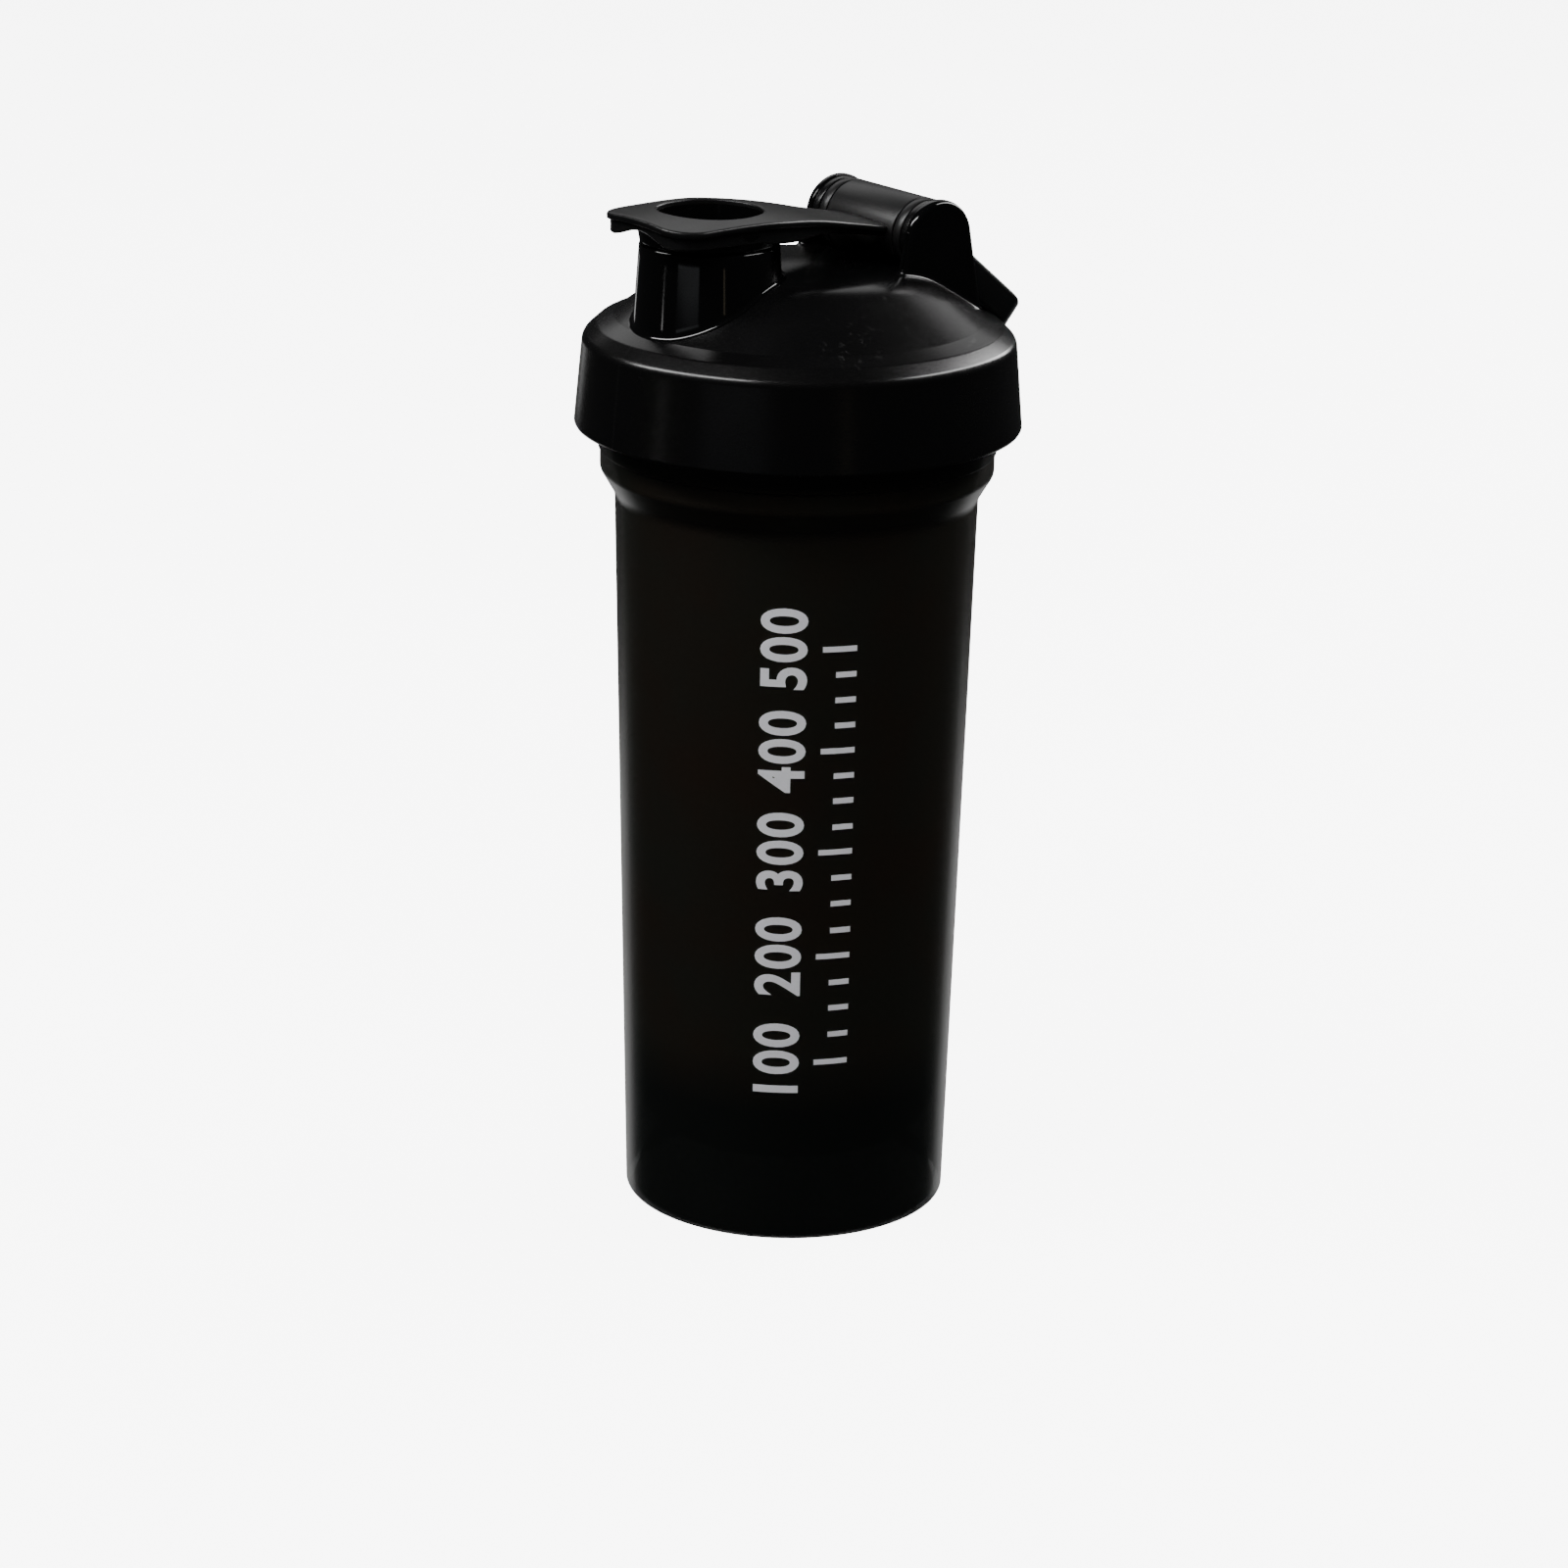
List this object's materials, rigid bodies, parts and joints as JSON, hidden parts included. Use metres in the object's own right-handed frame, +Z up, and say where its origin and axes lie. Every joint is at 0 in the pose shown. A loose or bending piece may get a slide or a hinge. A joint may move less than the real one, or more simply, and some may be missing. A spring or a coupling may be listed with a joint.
{
  "type": "protein shaker bottle",
  "caption": "Flip-top shaker: tapered smoke-translucent cup, threaded lid with spout, hinged flip cap and carry loop, seals and a loose wire whisk ball.",
  "frame": {"origin": "centre of the cup's foot ring, on the plane it stands on", "axes": "+Z up along the cup's axis, -Y towards the drinking spout, +Y towards the hinge, X along the hinge's axle"},
  "size_m": [0.098, 0.1015, 0.2286],
  "materials": {
    "smoke_plastic": "translucent smoke black, glossy",
    "black_plastic": "satin black, fine grain",
    "seal_rubber": "matte, soft",
    "steel_wire": "bright drawn wire"
  },
  "bodies": {
    "cup_body": {"cup": "smoke_plastic"},
    "gasket_body": {"neck_gasket": "seal_rubber"},
    "lid_body": {"lid_shell": "black_plastic"},
    "cap_body": {"flip_cap": "black_plastic", "spout_seal": "seal_rubber"},
    "loop_body": {"carry_loop": "black_plastic"},
    "ball_body": {"whisk_ball": "steel_wire"}
  },
  "joints": [
    {"name": "lid_rise", "type": "slide", "parent": "cup_body", "child": "gasket_body", "axis": [0, 0, 1], "range_m": [0, 0.00625]},
    {"name": "lid_turn", "type": "hinge", "parent": "gasket_body", "child": "lid_body", "pos_m": [0, 0, 0.1988], "axis": [0, 0, 1], "range_deg": [0, 450]},
    {"name": "cap_flip", "type": "hinge", "parent": "lid_body", "child": "cap_body", "pos_m": [0, 0.0234, 0.2199], "axis": [-1, 0, 0], "range_deg": [0, 110]},
    {"name": "loop_lift", "type": "hinge", "parent": "lid_body", "child": "loop_body", "pos_m": [0, 0.0234, 0.2199], "axis": [1, 0, 0], "range_deg": [0, 80]},
    {"name": "ball_slide", "type": "slide", "parent": "cup_body", "child": "ball_body", "axis": [0, 0, 1], "range_m": [0, 0.12]}
  ],
  "couplings": [
    {"joint": "lid_rise", "follows": "lid_turn", "m_per_rad": 0.00079577}
  ]
}
